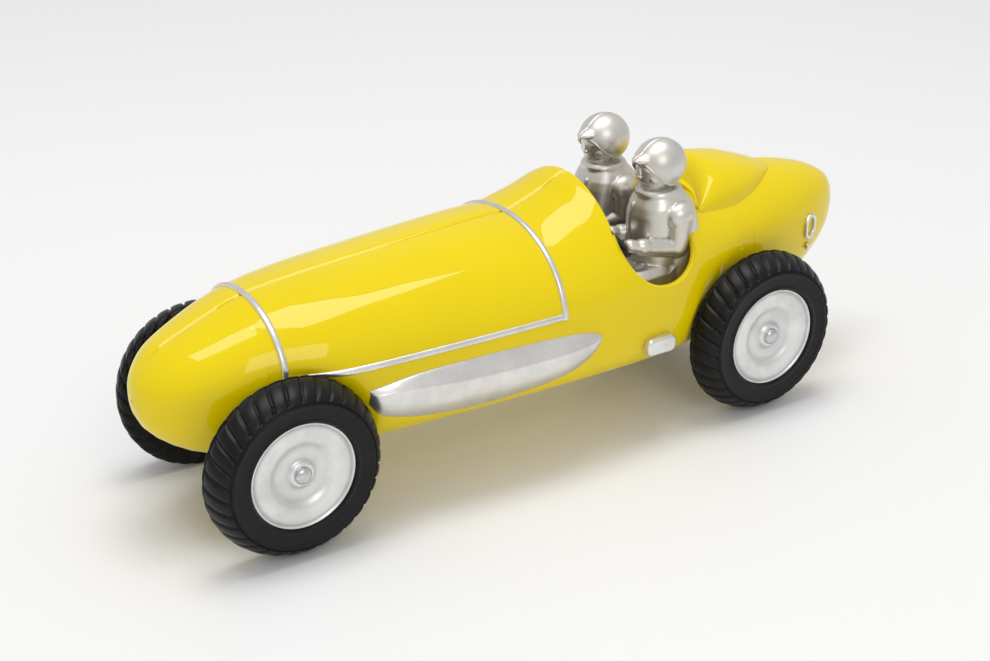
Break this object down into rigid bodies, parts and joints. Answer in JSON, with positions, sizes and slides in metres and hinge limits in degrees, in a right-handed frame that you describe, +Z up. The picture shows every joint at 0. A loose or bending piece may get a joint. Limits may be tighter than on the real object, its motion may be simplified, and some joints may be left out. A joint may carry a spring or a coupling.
{
  "type": "pull back toy racing car",
  "caption": "Streamlined 1930s two-seat racing car toy with seated driver and mechanic, rubber tyres and a pull-back spring motor.",
  "frame": {"origin": "on the floor below the middle of the car's length and width", "axes": "+X to the nose, +Y to the car's left side, +Z up"},
  "size_m": [0.172, 0.0526, 0.0623],
  "materials": {
    "body_yellow": "glossy bright yellow lacquer",
    "trim_silver": "satin silver paint, darker in the corners",
    "wheel_silver": "satin silver paint",
    "figure_silver": "silver paint with a dark wash in the folds",
    "tyre_rubber": "semi-gloss black rubber",
    "black_plastic": "fine matt moulding",
    "gear_plastic": "ivory moulded nylon",
    "steel": "bright drawn steel"
  },
  "bodies": {
    "car": {"body_shell": "body_yellow", "belly_pan": "body_yellow", "headrest": "body_yellow", "front_hoop": "trim_silver", "rear_hoop": "trim_silver", "left_rail": "trim_silver", "right_rail": "trim_silver", "left_fairing": "trim_silver", "right_fairing": "trim_silver", "left_step": "trim_silver", "right_step": "trim_silver", "left_tail_ring": "trim_silver", "right_tail_ring": "trim_silver", "cockpit_tub": "figure_silver", "steering_wheel": "black_plastic", "driver_body": "figure_silver", "driver_head": "figure_silver", "mechanic_body": "figure_silver", "mechanic_head": "figure_silver", "front_axle_bracket": "black_plastic", "motor_case_left": "black_plastic", "motor_case_right": "black_plastic", "idler_shaft": "steel", "barrel_arbor": "steel", "motor_screws": "steel", "chassis_screws": "steel"},
    "front_wheels": {"front_axle": "steel", "front_left_tyre": "tyre_rubber", "front_left_disc": "wheel_silver", "front_left_cap": "steel", "front_right_tyre": "tyre_rubber", "front_right_disc": "wheel_silver", "front_right_cap": "steel"},
    "rear_wheels": {"rear_axle": "steel", "axle_pinion": "gear_plastic", "rear_left_tyre": "tyre_rubber", "rear_left_disc": "wheel_silver", "rear_left_cap": "steel", "rear_right_tyre": "tyre_rubber", "rear_right_disc": "wheel_silver", "rear_right_cap": "steel"},
    "idler": {"idler_gear": "gear_plastic"},
    "barrel": {"spring_barrel": "gear_plastic", "barrel_lid": "gear_plastic", "mainspring": "steel"}
  },
  "joints": [
    {"name": "front_axle_spin", "type": "hinge", "parent": "car", "child": "front_wheels", "pos_m": [0.0634, 0, 0.018], "axis": [0, 1, 0], "continuous": true},
    {"name": "rear_axle_spin", "type": "hinge", "parent": "car", "child": "rear_wheels", "pos_m": [-0.0496, 0, 0.018], "axis": [0, 1, 0], "continuous": true},
    {"name": "idler_spin", "type": "hinge", "parent": "car", "child": "idler", "pos_m": [-0.0446, 0, 0.02666], "axis": [0, 1, 0], "continuous": true},
    {"name": "barrel_spin", "type": "hinge", "parent": "car", "child": "barrel", "pos_m": [-0.05573, 0, 0.03116], "axis": [0, 1, 0], "continuous": true}
  ],
  "couplings": [
    {"joint": "idler_spin", "follows": "rear_axle_spin", "ratio": -0.42857},
    {"joint": "barrel_spin", "follows": "rear_axle_spin", "ratio": 0.14286}
  ]
}
